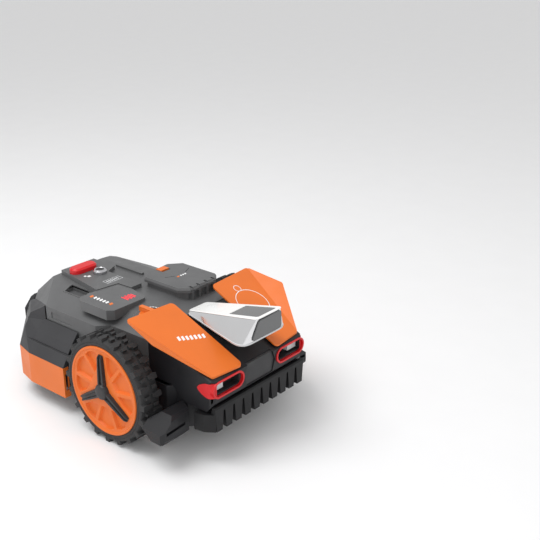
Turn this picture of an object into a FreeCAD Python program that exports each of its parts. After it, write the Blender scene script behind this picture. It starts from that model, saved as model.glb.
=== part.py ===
import FreeCAD, Part
import math
import os
import re

import Sketcher

# Robotic lawn mower: two big driven wheels ahead of the middle, a vision head over the nose,
# two small casters under the tail and a cutting disc set to the right, close to the edge skirt.
# Frame: millimetres, +Z up, the front looks along -Y, the machine's right-hand side is -X.

V = FreeCAD.Vector
doc = FreeCAD.newDocument("robotic_lawn_mower")
sheet = doc.addObject("Spreadsheet::Sheet", "Dims")

DIMS = {
    # general
    "wall": 3, "plate": 4, "run_gap": 0.05,
    # drive wheels
    "wheel_y": -78, "wheel_z": 125, "hub_face": 232.5, "tyre_radius": 125, "tyre_width": 55,
    "carcass_radius": 117, "rim_radius": 102, "rim_bore": 6, "axle_radius": 6, "lug_length": 22,
    "lug_width": 17, "lug_count": 20, "web_thick": 8, "web_recess": 2.5, "pocket_depth": 5,
    "cap_depth": 8, "arm_length": 86, "arm_root": 11, "arm_tip": 7,
    # lower chassis tub
    "tub_low": 64, "tub_top": 150, "tub_half": 160, "tub_front": -270, "tub_rear": 326,
    "tub_nose_half": 120, "bulge_half": 202, "bulge_front": 60,
    # cutting system
    "disc_x": -92, "disc_y": 140, "well_radius": 108, "well_top": 101, "disc_radius": 78,
    "disc_low": 36, "disc_thick": 3, "blade_pivot": 68, "blade_reach": 27, "blade_tail": 9,
    "blade_half": 8, "blade_thick": 1, "screw_radius": 2.5, "motor_radius": 38, "carriage_radius": 43,
    "spindle_radius": 5, "post_radius": 4, "post_spread": 58,
    # casters
    "caster_x": 100, "caster_y": 284, "caster_trail": 16, "caster_radius": 28, "caster_half": 8.5,
    "caster_stem": 5, "caster_pin": 3,
    # nose, comb and corner skids
    "nose_half": 150, "nose_front": -319, "nose_rear": -138.2, "comb_half": 146, "comb_low": 78,
    "comb_top": 134, "comb_front": -324, "tooth_count": 10, "tooth_tip": 17, "tooth_root": 25,
    "skid_face": 241, "skid_inner": 159, "skid_front": -266, "skid_rear": -206, "skid_low": 68,
    "skid_top": 120,
    # headlights and charging contacts
    "light_x": 101.5, "light_z": 171.5, "light_half": 48, "light_radius": 19, "bezel": 4,
    "strip_in": 45, "strip_out": 106, "strip_low": 122, "strip_top": 129,
    # deck
    "deck_front": -137.5, "deck_half": 165, "deck_edge": 226, "deck_crown": 262, "deck_rear": 333,
    # camera head
    "head_rear": -139, "head_front": -348.4, "head_top": 306, "head_low": 245, "head_rear_top": 261,
    "head_half_top": 40, "head_half_low": 80, "head_half_rear": 29, "frame_thick": 3,
    # fenders
    "fender_thick": 4,
    # edge pod, skirt and left cover
    "pod_face": 217, "pod_front": 75, "skirt_low": 46, "skirt_top": 121, "left_face": 190,
    # console and controls
    "console_top": 272, "tile_top": 270, "stop_x": -38, "stop_y": 203, "stop_half": 36,
    "stop_radius": 17, "stop_top": 285, "stop_low": 269.5, "knob_x": -24, "knob_y": 158,
    "knob_radius": 16, "knob_hole": 10, "knob_top": 282, "led_x": -62, "led_y": 167,
    # cutting-height dial
    "dial_x": -96, "dial_y": -92, "dial_radius": 34, "dial_seat": 258.5,
    # battery bay
    "lid_low": 275, "lid_top": 286, "hinge_y": -97, "hinge_z": 279, "hinge_radius": 2.5,
}

for row, (alias, number) in enumerate(DIMS.items(), 1):
    sheet.set(f"A{row}", alias)
    sheet.set(f"B{row}", str(number))
    sheet.setAlias(f"B{row}", alias)
doc.recompute()

NODES = []
WORD = re.compile(r"[a-z][a-z_]*")


def bound(text):
    """Expression text whose size names point at the spreadsheet."""
    return WORD.sub(lambda m: "Dims." + m.group() if m.group() in DIMS else m.group(), str(text))


def size(text):
    """Number that an expression gives now."""
    return float(sheet.evalExpression(bound(text)))


def node(obj, label):
    """Give a finished sub-part its own name and list it for export."""
    obj.Label = label
    NODES.append(obj)
    return obj


def mirrored(source, label):
    """Left-hand twin of a right-hand sub-part, across the machine's middle plane."""
    twin = doc.addObject("Part::Mirroring", label)
    twin.Source = source
    twin.Normal = V(1, 0, 0)
    return node(twin, label)


# ---------------------------------------------------------------- building blocks

def place(obj, x, y, z, turn=None):
    if turn:
        obj.Placement = FreeCAD.Placement(V(0, 0, 0), FreeCAD.Rotation(*turn))
    for axis, text in zip("xyz", (x, y, z)):
        obj.setExpression(f"Placement.Base.{axis}", bound(text))


def box(name, x_span, y_span, z_span):
    obj = doc.addObject("Part::Box", name)
    spans = (x_span, y_span, z_span)
    for prop, (low, high) in zip(("Length", "Width", "Height"), spans):
        obj.setExpression(prop, bound(f"({high}) - ({low})"))
    place(obj, *(low for low, high in spans))
    return obj


TURN = {"X": (V(0, 1, 0), 90), "Y": (V(1, 0, 0), -90), "Z": None}


def rod(name, radius, span, axis, first, second):
    """Cylinder along an axis over span, centred on the two other coordinates."""
    obj = doc.addObject("Part::Cylinder", name)
    obj.setExpression("Radius", bound(radius))
    obj.setExpression("Height", bound(f"({span[1]}) - ({span[0]})"))
    where = {"X": (span[0], first, second), "Y": (first, span[0], second), "Z": (first, second, span[0])}
    place(obj, *where[axis], turn=TURN[axis])
    return obj


def outline(body, name, plane, loops, offset="0"):
    """Sketch of closed straight-sided loops, every corner bound to the spreadsheet."""
    sketch = body.newObject("Sketcher::SketchObject", name)
    support = [f for f in body.Origin.OriginFeatures if f.Role == plane + "_Plane"][0]
    sketch.AttachmentSupport = [(support, "")]
    sketch.MapMode = "FlatFace"
    sketch.setExpression("AttachmentOffset.Base.z", bound(offset))
    for points in loops:
        places = [(size(a), size(b)) for a, b in points]
        first = sketch.GeometryCount
        count = len(points)
        for i in range(count):
            here, there = places[i], places[(i + 1) % count]
            sketch.addGeometry(Part.LineSegment(V(*here, 0), V(*there, 0)), False)
        for i in range(count):
            sketch.addConstraint(Sketcher.Constraint("Coincident",
                first + i, 2, first + (i + 1) % count, 1))
        for i in range(count):
            for kind, k in (("DistanceX", 0), ("DistanceY", 1)):
                index = sketch.addConstraint(Sketcher.Constraint(kind, first + i, 1, places[i][k]))
                sketch.setExpression(f"Constraints[{index}]", bound(points[i][k]))
    return sketch


def prism(name, plane, points, low, high):
    """Body padded from one closed outline between two levels along the plane's world axis."""
    body = doc.addObject("PartDesign::Body", name)
    start = f"-({high})" if plane == "XZ" else low
    sketch = outline(body, name + "_outline", plane, [points], start)
    pad = body.newObject("PartDesign::Pad", name + "_pad")
    pad.Profile = sketch
    pad.Type = "Length"
    pad.setExpression("Length", bound(f"({high}) - ({low})"))
    body.Tip = pad
    return body


def lathe(name, plane, axis, points, centre):
    """Body of revolution from a half section; centre is the axis's place in the machine."""
    body = doc.addObject("PartDesign::Body", name)
    sketch = outline(body, name + "_section", plane, [points])
    turn = body.newObject("PartDesign::Revolution", name + "_turn")
    turn.Profile = sketch
    turn.ReferenceAxis = (sketch, [axis])
    turn.Angle = 360
    body.Tip = turn
    place(body, *centre)
    return body


def fuse(name, *pieces):
    obj = doc.addObject("Part::MultiFuse", name)
    obj.Shapes = list(pieces)
    return obj


def common(name, *pieces):
    obj = doc.addObject("Part::MultiCommon", name)
    obj.Shapes = list(pieces)
    return obj


def cut(name, base, *tools):
    obj = doc.addObject("Part::Cut", name)
    obj.Base = base
    obj.Tool = tools[0] if len(tools) == 1 else fuse(name + "_tools", *tools)
    return obj


def rounded(name, base, radius, chooses):
    """Fillet the straight edges that the test chooses by their two ends."""
    doc.recompute()
    obj = doc.addObject("Part::Fillet", name)
    obj.Base = base
    picks = []
    for index, edge in enumerate(base.Shape.Edges, 1):
        if len(edge.Vertexes) == 2 and chooses(edge.Vertexes[0].Point, edge.Vertexes[1].Point):
            picks.append((index, size(radius), size(radius)))
    obj.Edges = picks
    return obj


def upright(a, b):
    return abs(a.x - b.x) + abs(a.y - b.y) < 0.01


def solid_of(faces):
    """Closed solid from flat faces given as lists of corners."""
    made = [Part.Face(Part.makePolygon([V(*p) for p in ring] + [V(*ring[0])])) for ring in faces]
    return Part.Solid(Part.Shell(made))


def feature(name, shape):
    obj = doc.addObject("Part::Feature", name)
    obj.Shape = shape
    return obj


def cap_faces(ring):
    """One face over a flat ring, or a fan of triangles over a bent one."""
    a, b, c = (V(*corner) for corner in ring[:3])
    normal = (b - a).cross(c - a)
    if all(abs((V(*corner) - a).dot(normal)) < 1e-6 for corner in ring):
        return [list(ring)]
    return [[ring[0], ring[i], ring[i + 1]] for i in range(1, len(ring) - 1)]


def wedge_solid(*rings):
    """Solid through matching rings of corners, lowest first, its sides split into triangles."""
    count = len(rings[0])
    faces = cap_faces(rings[0]) + cap_faces(rings[-1])
    for lower, upper in zip(rings, rings[1:]):
        for i in range(count):
            j = (i + 1) % count
            faces += [[lower[i], lower[j], upper[j]], [lower[i], upper[j], upper[i]]]
    return solid_of(faces)


def numbers(points):
    return [tuple(size(value) for value in point) for point in points]


# ---------------------------------------------------------------- drive wheels

def polar(radius, angle):
    """Corner at a radius and an angle in degrees, as expression text."""
    return f"({radius}) * cos({angle} deg)", f"({radius}) * sin({angle} deg)"


def tread(body, name, low, shift):
    """One row of lugs on a tyre body, repeated round its axis."""
    half = "lug_width / 2"
    base = "carcass_radius - 2"
    points = [(f"-({half})", base), (half, base), ("lug_width / 2 - 2", "tyre_radius"),
              ("2 - lug_width / 2", "tyre_radius")]
    lug = outline(body, name + "_outline", "YZ", [points], low)
    pad = body.newObject("PartDesign::Pad", name)
    pad.Profile = lug
    pad.setExpression("Length", bound("lug_length"))
    ring = body.newObject("PartDesign::PolarPattern", name + "_ring")
    ring.Originals = [pad]
    ring.Axis = (lug, ["N_Axis"])
    ring.Angle = 360
    ring.setExpression("Occurrences", bound("lug_count"))
    body.Tip = ring
    if shift:
        lug.AttachmentOffset = FreeCAD.Placement(V(0, 0, 0), FreeCAD.Rotation(V(0, 0, 1), shift))
        lug.setExpression("AttachmentOffset.Base.z", bound(low))


def drive_wheel():
    """Tyre, rim, three-armed cap and axle of the right-hand wheel, then its left-hand twins."""
    centre = ("0", "wheel_y", "wheel_z")
    outer, inner = "2.5 - hub_face", "tyre_width - hub_face"
    tyre = lathe("tyre_right", "XY", "H_Axis", [
        (outer, "rim_radius"), (outer, "carcass_radius - 5"), (f"{outer} + 4", "carcass_radius"),
        (f"{inner} - 4", "carcass_radius"), (inner, "carcass_radius - 5"), (inner, "rim_radius")], centre)
    half_pitch = 180 / size("lug_count")
    tread(tyre, "outer_lugs", outer, 0)
    tread(tyre, "inner_lugs", f"{inner} - lug_length", half_pitch)
    node(tyre, "tyre_right")

    web = "web_recess - hub_face"
    rim = lathe("rim_right", "XY", "H_Axis", [
        ("-hub_face", "rim_radius - 6"), ("-hub_face", "rim_radius"), (inner, "rim_radius"),
        (inner, "rim_radius - 5"), (f"{web} + web_thick", "rim_radius - 5"), (f"{web} + web_thick", "18"),
        ("-195", "16"), ("-195", "rim_bore"), (web, "rim_bore"), (web, "rim_radius - 6")], centre)
    loops = []
    for middle in (30, 150, 270):
        loops.append([polar("40", middle - 13), polar("88", middle - 17), polar("90", middle),
                      polar("88", middle + 17), polar("40", middle + 13)])
        for side in (-1, 1):
            loops.append([polar("52", middle + side * 26), polar("88", middle + side * 23),
                          polar("86", middle + side * 43), polar("70", middle + side * 44)])
    pockets = outline(rim, "rim_pockets", "YZ", loops, web)
    pocket = rim.newObject("PartDesign::Pocket", "rim_pocket")
    pocket.Profile = pockets
    pocket.Type = "Length"
    pocket.Reversed = True
    pocket.setExpression("Length", bound("pocket_depth"))
    rim.Tip = pocket
    node(rim, "rim_right")

    arms = []
    for i, angle in enumerate((90, 210, 330)):
        arm = prism(f"cap_arm{i}", "YZ", [
            ("-arm_root", "0"), ("arm_root", "0"), ("arm_tip", "arm_length - 4"),
            ("arm_tip - 4", "arm_length"),
            ("4 - arm_tip", "arm_length"), ("-arm_tip", "arm_length - 4")], f"{web} - cap_depth", web)
        arm.Placement = FreeCAD.Placement(V(0, 0, 0), FreeCAD.Rotation(V(1, 0, 0), angle - 90))
        for axis, text in zip("xyz", centre):
            arm.setExpression(f"Placement.Base.{axis}", bound(text))
        arms.append(arm)
    boss = rod("cap_boss", "18", (f"{web} - cap_depth - 3", web), "X", "wheel_y", "wheel_z")
    cap = fuse("spoke_cap_joined", boss, *arms)
    cap = rounded("spoke_cap_right", cap, "2", lambda a, b: a.x < size(web) - 7 and b.x < size(web) - 7)
    node(cap, "spoke_cap_right")

    axle = rod("axle_right", "axle_radius", (f"{web} + 0.5", "-135"), "X", "wheel_y", "wheel_z")
    node(axle, "axle_right")
    for source in (tyre, rim, cap, axle):
        mirrored(source, source.Name.replace("right", "left"))


def gearmotors():
    """Gearbox with its motor can, bolted to the tub wall, with a running bore for the axle."""
    gearbox = rod("gearbox", "24", ("wall - tub_half", "-95"), "X", "wheel_y", "wheel_z")
    can = rod("motor_can", "19", ("-95", "-40"), "X", "wheel_y", "wheel_z")
    bore = rod("axle_bore", "axle_radius + run_gap", ("-161", "-130"), "X", "wheel_y", "wheel_z")
    right = node(cut("gearmotor_right", fuse("gearmotor_body", gearbox, can), bore), "gearmotor_right")
    mirrored(right, "gearmotor_left")


# ---------------------------------------------------------------- chassis and cutting system

def tub_outline(inset):
    """Plan of the tub, wider on the right where the cutting well reaches out to the edge."""
    return [(f"{inset} - tub_nose_half", f"tub_front + {inset}"),
            (f"tub_nose_half - {inset}", f"tub_front + {inset}"),
            (f"146 - {inset}", f"-245 + {inset}"), (f"146 - {inset}", "-212"),
            (f"tub_half - {inset}", f"-198 + {inset}"), (f"tub_half - {inset}", "240"),
            (f"126 - {inset}", f"310 - {inset}"), (f"60 - {inset}", f"tub_rear - {inset}"),
            (f"{inset} - 60", f"tub_rear - {inset}"), (f"{inset} - 122", f"312 - {inset}"),
            (f"{inset} - 192", f"246 - {inset}"), (f"{inset} - bulge_half", f"222 - {inset}"),
            (f"{inset} - bulge_half", f"bulge_front + {inset}"),
            (f"{inset} - tub_half", f"bulge_front + {inset}"),
            (f"{inset} - tub_half", f"-198 + {inset}"), (f"{inset} - 146", "-212"),
            (f"{inset} - 146", f"-245 + {inset}")]


def chassis():
    """Open-topped tub with the cutting well, caster sockets and axle holes."""
    outer = prism("tub_outer", "XY", tub_outline("0"), "tub_low", "tub_top")
    inner = prism("tub_inner", "XY", tub_outline("wall"), "tub_low + plate", "tub_top + 1")
    dome = rod("well_outer", "well_radius + wall", ("tub_low", "well_top + wall"), "Z", "disc_x", "disc_y")
    well = rod("well_inner", "well_radius", ("tub_low - 1", "well_top"), "Z", "disc_x", "disc_y")
    mouth = rod("motor_mouth", "carriage_radius + 2", ("well_top - 1", "well_top + 9"), "Z", "disc_x",
        "disc_y")
    bosses, holes = [], []
    for name, sign in (("right", "-1"), ("left", "1")):
        where = (f"{sign} * caster_x", "caster_y")
        bosses.append(rod("boss_" + name, "caster_stem + 6", ("tub_low", "90"), "Z", *where))
        holes.append(rod("socket_" + name, "caster_stem + run_gap", ("tub_low - 1", "91"), "Z", *where))
    axle_hole = rod("axle_holes", "axle_radius + 2", ("-170", "170"), "X", "wheel_y", "wheel_z")
    shell = fuse("tub_joined", cut("tub_hollow", outer, inner), dome, *bosses)
    node(cut("chassis_tub", shell, well, mouth, axle_hole, *holes), "chassis_tub")
    return outer


def screw_heads():
    """Screw heads under the tub floor, alike, in one node."""
    places = [("-100", "-240"), ("100", "-240"), ("-130", "-20"), ("140", "-20"), ("140", "150"),
        ("45", "300"),
              ("-40", "312")]
    heads = [rod(f"floor_screw{i}", "4", ("tub_low - 2.2", "tub_low"), "Z", x, y)
             for i, (x, y) in enumerate(places)]
    node(fuse("housing_screws", *heads), "housing_screws")


def cutting_system():
    """Height carriage on two posts, motor, spindle disc and three swinging blades."""
    where = ("disc_x", "disc_y")
    sides = ("disc_x - post_spread", "disc_x + post_spread")
    posts = [rod(f"post{i}", "post_radius", ("well_top + wall", "186"), "Z", x, "disc_y")
             for i, x in enumerate(sides)]
    node(fuse("guide_posts", *posts), "guide_posts")

    cup = rod("carriage_cup", "carriage_radius", ("82", "126"), "Z", *where)
    flange = box("carriage_flange", ("disc_x - 70", "disc_x + 70"), ("disc_y - 24", "disc_y + 24"),
                 ("116", "124"))
    guides = [rod(f"carriage_bush{i}", "post_radius + 5", ("112", "140"), "Z", x, "disc_y")
              for i, x in enumerate(sides)]
    bores = [rod(f"carriage_bore{i}", "post_radius + run_gap", ("111", "141"), "Z", x, "disc_y")
             for i, x in enumerate(sides)]
    seat = rod("motor_seat", "motor_radius", ("86", "127"), "Z", *where)
    throat = rod("motor_throat", "12", ("81", "87"), "Z", *where)
    node(cut("height_carriage", fuse("carriage_joined", cup, flange, *guides), seat, throat, *bores),
         "height_carriage")

    can = rod("cutting_motor_can", "motor_radius", ("86", "150"), "Z", *where)
    bore = rod("cutting_motor_bore", "spindle_radius + run_gap", ("85", "120"), "Z", *where)
    node(cut("cutting_motor", can, bore), "cutting_motor")

    plate = rod("disc_plate", "disc_radius", ("disc_low", "disc_low + disc_thick"), "Z", *where)
    hub = rod("disc_hub", "15", ("disc_low", "disc_low + 16"), "Z", *where)
    spindle = rod("disc_spindle", "spindle_radius", ("disc_low", "118"), "Z", *where)
    pivots = []
    for i in range(3):
        x, y = polar("blade_pivot", 90 + 120 * i)
        pivots.append((f"disc_x + {x}", f"disc_y + {y}"))
    holes = [rod(f"disc_hole{i}", "screw_radius", ("disc_low - 1", "disc_low + 4"), "Z", *pivot)
             for i, pivot in enumerate(pivots)]
    node(cut("cutting_disc", fuse("disc_joined", plate, hub, spindle), *holes), "cutting_disc")

    screws = []
    for i, pivot in enumerate(pivots):
        head = rod(f"screw_head{i}", "5", ("disc_low - 3.8", "disc_low - 2"), "Z", *pivot)
        shank = rod(f"screw_shank{i}", "screw_radius", ("disc_low - 2", "disc_low + disc_thick"),
            "Z", *pivot)
        screws.append(fuse(f"blade_screw{i}", head, shank))
    node(fuse("blade_screws", *screws), "blade_screws")

    for i, pivot in enumerate(pivots):
        blade = prism(f"blade_{i + 1}_stock", "XY", [
            ("-blade_half", "-blade_tail"), ("blade_half", "-blade_tail"),
            ("blade_half", "blade_reach - 4"),
            ("blade_half - 4", "blade_reach"), ("4 - blade_half", "blade_reach"),
            ("-blade_half", "blade_reach - 4")], "disc_low - 0.5 - blade_thick", "disc_low - 0.5")
        blade.Placement = FreeCAD.Placement(V(0, 0, 0), FreeCAD.Rotation(V(0, 0, 1), 120 * i))
        for axis, text in zip("xy", pivot):
            blade.setExpression(f"Placement.Base.{axis}", bound(text))
        eye = rod(f"blade_{i + 1}_eye", "screw_radius + run_gap", ("disc_low - 3", "disc_low"), "Z", *pivot)
        node(cut(f"blade_{i + 1}", blade, eye), f"blade_{i + 1}")


def casters():
    """Trailing caster: stem, forked legs and axle pin in one moulding, and a small wheel."""
    cx, cy = "-caster_x", "caster_y"
    axle_y = "caster_y + caster_trail"
    leg = "(caster_half + 1.5)"
    stem = rod("stem", "caster_stem", ("59", "88"), "Z", cx, cy)
    crown = box("crown", (f"{cx} - {leg} - 3", f"{cx} + {leg} + 3"), ("caster_y - 12", f"{axle_y} + 8"),
                ("59", "tub_low - 0.5"))
    legs = [box("leg_a", (f"{cx} - {leg} - 3", f"{cx} - {leg}"), (f"{axle_y} - 12", f"{axle_y} + 8"),
        ("20", "60")),
            box("leg_b", (f"{cx} + {leg}", f"{cx} + {leg} + 3"), (f"{axle_y} - 12", f"{axle_y} + 8"),
                ("20", "60"))]
    pin = rod("caster_axle", "caster_pin", (f"{cx} - {leg} - 3", f"{cx} + {leg} + 3"), "X",
        axle_y, "caster_radius")
    fork = node(fuse("caster_fork_right", stem, crown, pin, *legs), "caster_fork_right")
    wheel = lathe("caster_wheel_right", "XY", "H_Axis", [
        ("-caster_half", "caster_pin + run_gap"), ("-caster_half", "caster_radius - 5"),
        ("3 - caster_half", "caster_radius"), ("caster_half - 3", "caster_radius"),
        ("caster_half", "caster_radius - 5"), ("caster_half", "caster_pin + run_gap")],
        (cx, axle_y, "caster_radius"))
    node(wheel, "caster_wheel_right")
    mirrored(fork, "caster_fork_left")
    mirrored(wheel, "caster_wheel_left")


# ---------------------------------------------------------------- nose

def stadium(name, half, radius, y_span):
    """Round-ended bar along Y centred on the right-hand headlight."""
    low, high = f"light_z - ({radius})", f"light_z + ({radius})"
    reach = f"{half} - ({radius})"
    middle = box(name + "_mid", (f"-light_x - ({reach})", f"-light_x + ({reach})"), y_span, (low, high))
    ends = [rod(f"{name}_end{i}", radius, y_span, "Y", f"-light_x {sign} ({reach})", "light_z")
            for i, sign in enumerate("-+")]
    return fuse(name, middle, *ends)


def headlights():
    """Red bezel that wraps round the corner, dark reflector cup and the lamp block in it."""
    inner = ("light_half - bezel", "light_radius - bezel")
    outer_bar = stadium("bezel_outer", "light_half", "light_radius", ("-323", "-286"))
    inner_bar = stadium("bezel_inner", *inner, ("-324", "-285"))
    tube = cut("bezel_tube", outer_bar, inner_bar)
    front = box("bezel_front", ("-160", "-40"), ("-323", "-311"), ("140", "200"))
    corner = box("bezel_corner", ("-160", "-137"), ("-311", "-286"), ("140", "200"))
    right = common("light_bezel_right", tube, fuse("bezel_zone", front, corner))
    node(right, "light_bezel_right")
    mirrored(right, "light_bezel_left")

    cup = stadium("cup_outer", *inner, ("-316", "-290"))
    funnel = prism("cup_funnel", "XZ", [
        ("-140", "160"), ("-64", "160"), ("-64", "183"), ("-140", "183")], "-317", "-296")
    block = box("lamp_block", ("-136", "-106"), ("-309", "-296"), ("164", "180"))
    lamp_seat = cut("light_reflector_right", cut("cup_hollow", cup, funnel), block)
    reflector = node(lamp_seat, "light_reflector_right")
    mirrored(reflector, "light_reflector_left")
    twin = doc.addObject("Part::Mirroring", "lamp_block_left")
    twin.Source = block
    twin.Normal = V(1, 0, 0)
    node(fuse("light_emitters", block, twin), "light_emitters")


def nose_profile(inset):
    """Side profile of the nose: rising wedge under the fenders, tucked chin at the front."""
    return [(f"nose_front + 15 + {inset}", f"122 + {inset}"), (f"nose_front + {inset}", f"142 + {inset}"),
            (f"nose_front - 2 + {inset}", f"191 - {inset}"), ("-205", f"240 - {inset}"),
            (f"nose_rear - {inset}", f"249 - {inset}"), (f"nose_rear - {inset}", f"151 - {inset}"),
            ("-205", f"151 - {inset}"), ("-250", f"122 - {inset}")]


def nose(tub):
    """Front housing with openings for the lights and the centre panel, open underneath."""
    outer = prism("nose_outer", "YZ", nose_profile("0"), "-nose_half", "nose_half")
    plan = prism("nose_plan", "XY", [
        ("-nose_half", "nose_front + 8"), ("-136", "nose_front - 3"), ("136", "nose_front - 3"),
        ("nose_half", "nose_front + 8"), ("nose_half", "nose_rear + 1"), ("-nose_half", "nose_rear + 1")],
        "100", "260")
    block = rounded("nose_block", common("nose_stock", outer, plan), "8",
                    lambda a, b: min(a.z, b.z) > 180 and abs(abs(a.x) - size("nose_half")) < 0.1
                    and abs(abs(b.x) - size("nose_half")) < 0.1 and abs(a.y - b.y) > 20)
    profile = [("-301", "100"), ("-301", "125"), ("-316", "145"), ("-318", "189"), ("-205", "237"),
               ("nose_rear - wall", "246"), ("nose_rear - wall", "100")]
    inner = prism("nose_inner", "YZ", profile, "wall - nose_half", "nose_half - wall")
    lamps = stadium("lamp_cut_right", "light_half", "light_radius", ("-330", "-286"))
    lamps_left = doc.addObject("Part::Mirroring", "lamp_cut_left")
    lamps_left.Source = lamps
    lamps_left.Normal = V(1, 0, 0)
    shape = [("-42", "143"), ("42", "143"), ("50", "170"), ("38", "200"), ("-38", "200"), ("-50", "170")]
    window = prism("panel_cut", "XZ", shape, "-330", "-312")
    neck = neck_block("neck_cut")
    node(cut("nose_shell", block, inner, lamps, lamps_left, window, neck, tub), "nose_shell")
    sill = prism("panel_stock", "XZ", shape, "-317", "-313")
    clear = prism("panel_clear", "YZ", nose_profile("1"), "-60", "60")
    node(common("nose_panel", sill, clear), "nose_panel")


def contacts():
    """Two charging strips and the centre contact block on the chin, above the comb."""
    strips = [box("strip_right", ("-strip_out", "-strip_in"), ("-307.5", "-304.3"),
        ("strip_low", "strip_top")),
              box("strip_left", ("strip_in", "strip_out"), ("-307.5", "-304.3"),
                  ("strip_low", "strip_top"))]
    block = box("contact_block", ("-33", "33"), ("-309", "-304.3"), ("strip_low - 1", "strip_top + 1"))
    chin = prism("chin_clear", "YZ", nose_profile("0"), "-130", "130")
    node(cut("charging_contacts", fuse("contacts_joined", block, *strips), chin), "charging_contacts")


def comb():
    """Front guard comb: ten deep teeth on one bar, tapering downwards."""
    count = int(size("tooth_count"))
    pitch = f"((2 * comb_half - tooth_root) / {count - 1})"
    points = [("-comb_half", "comb_top")]
    for i in range(count):
        middle = f"(tooth_root / 2 - comb_half + {i} * {pitch})"
        points += [(f"{middle} - tooth_root / 2", "comb_top - 12"),
            (f"{middle} - tooth_tip / 2", "comb_low"),
                   (f"{middle} + tooth_tip / 2", "comb_low"),
                   (f"{middle} + tooth_root / 2", "comb_top - 12")]
    points += [("comb_half", "comb_top")]
    teeth = prism("comb_teeth", "XZ", points, "comb_front", "-274")
    side = prism("comb_side", "YZ", [
        ("comb_front", "comb_low"), ("comb_front - 2", "comb_top - 8"), ("comb_front + 2", "comb_top"),
        ("comb_front + 8", "comb_top"), ("comb_front + 14", "117"), ("-274", "117"),
        ("-276", "comb_low + 14"),
        ("-292", "comb_low")], "-150", "150")
    body = common("comb_body", teeth, side)
    ends = [prism(f"comb_end_{name}", "XY", [
        (f"{sign} * (comb_half - 2)", "comb_front + 1"), (f"{sign} * (comb_half + 12)", "-302"),
        (f"{sign} * (comb_half + 16)", "-278"), (f"{sign} * (comb_half - 2)", "-278")],
        "comb_low", "comb_top - 16") for name, sign in (("right", "-1"), ("left", "1"))]
    node(fuse("comb", body, *ends), "comb")


def skids(tub):
    """Corner bumper block with a shallow slot across its front face."""
    stock = prism("skid_stock", "XY", [
        ("8 - skid_face", "skid_front"), ("-skid_inner", "skid_front + 6"),
        ("-skid_inner + 24", "skid_rear - 4"),
        ("-skid_inner + 12", "skid_rear"), ("-skid_face", "skid_rear"), ("-skid_face", "skid_front + 8")],
        "skid_low", "skid_top")
    side = prism("skid_side", "YZ", [
        ("skid_front + 4", "skid_low"), ("skid_front", "skid_low + 8"), ("skid_front", "skid_top - 10"),
        ("skid_front + 10", "skid_top"), ("skid_rear - 22", "skid_top"), ("skid_rear", "skid_top - 16"),
        ("skid_rear", "skid_low + 22"), ("skid_rear - 24", "skid_low")], "-260", "-130")
    front = prism("skid_front_view", "XZ", [
        ("-skid_face", "skid_low"), ("-skid_face", "skid_low + 22"), ("37 - skid_face", "skid_top"),
        ("-144", "skid_top"), ("-130", "skid_low")], "skid_front - 1", "skid_rear + 1")
    slot = box("skid_slot", ("12 - skid_face", "-skid_inner - 12"), ("skid_front - 1", "skid_front + 9"),
               ("skid_low + 18", "skid_low + 25"))
    hole = rod("skid_hole", "4", ("skid_front - 1", "skid_front + 16"), "Y", "6 - skid_inner",
        "skid_top - 14")
    right = node(cut("skid_right", common("skid_body", stock, side, front), slot, hole, tub), "skid_right")
    mirrored(right, "skid_left")


# ---------------------------------------------------------------- deck, covers and fenders

def deck_stock(name, inset):
    """Common of plan, side and front outlines: flat crown, sloping flanks and tail."""
    plan = [(f"{inset} - 150", "deck_front - 1"), (f"150 - {inset}", "deck_front - 1"),
            (f"150 - {inset}", "-20"), (f"deck_half - {inset}", "15"),
            (f"deck_half - {inset}", f"188 - {inset}"),
            (f"118 - {inset}", f"294 - {inset}"), (f"60 - {inset}", f"deck_rear - {inset}"),
            (f"{inset} - 60", f"deck_rear - {inset}"), (f"{inset} - 118", f"294 - {inset}"),
            (f"{inset} - deck_half", f"188 - {inset}"), (f"{inset} - deck_half", "15"),
            (f"{inset} - 150", "-20")]
    floor = f"tub_top - 2 * {inset}"
    side = [("deck_front - 1", floor), ("deck_front - 1", f"250 - {inset}"),
        ("-60", f"deck_crown - {inset}"),
            (f"250 - {inset} / 2", f"deck_crown - {inset}"), (f"deck_rear - {inset}", f"188 - {inset}"),
            (f"deck_rear - {inset}", floor)]
    front = [(f"{inset} - deck_half", floor), (f"deck_half - {inset}", floor),
             (f"deck_half - {inset}", f"deck_edge - {inset}"), ("100", f"257 - {inset}"),
             ("60", f"deck_crown - {inset}"), ("-60", f"deck_crown - {inset}"), ("-100", f"257 - {inset}"),
             (f"{inset} - deck_half", f"deck_edge - {inset}")]
    parts = [prism(name + "_plan", "XY", plan, floor, "deck_crown + 1"),
             prism(name + "_side", "YZ", side, f"{inset} - deck_half", f"deck_half - {inset}"),
             prism(name + "_front", "XZ", front, "deck_front", "deck_rear")]
    return cut(name, common(name + "_sides", *parts), *rear_facets(name, size(inset)))


def rear_facets(name, inset):
    """Stock above the two sloping facets at the rear corners of the deck."""
    def facet(x, y):
        """Level of the facet that runs down from the crown's rear corner to the tail."""
        return size("deck_edge") + 1.05 * (x + size("deck_half")) - 0.711 * (y - 188) - 1.62 * inset
    corners = [(-195, 150), (-40, 150), (-40, 360), (-195, 360)]
    made = []
    for hand, sign in (("right", 1), ("left", -1)):
        low = [(sign * x, y, facet(x, y)) for x, y in corners]
        made.append(feature(f"{name}_facet_{hand}", wedge_solid(low, [(x, y, 420) for x, y, z in low])))
    return made


LID_PLAN = [("0", "-78"), ("18", "-100"), ("102", "-100"), ("124", "-82"), ("124", "26"), ("94", "52"),
            ("24", "46"), ("0", "30")]


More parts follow.
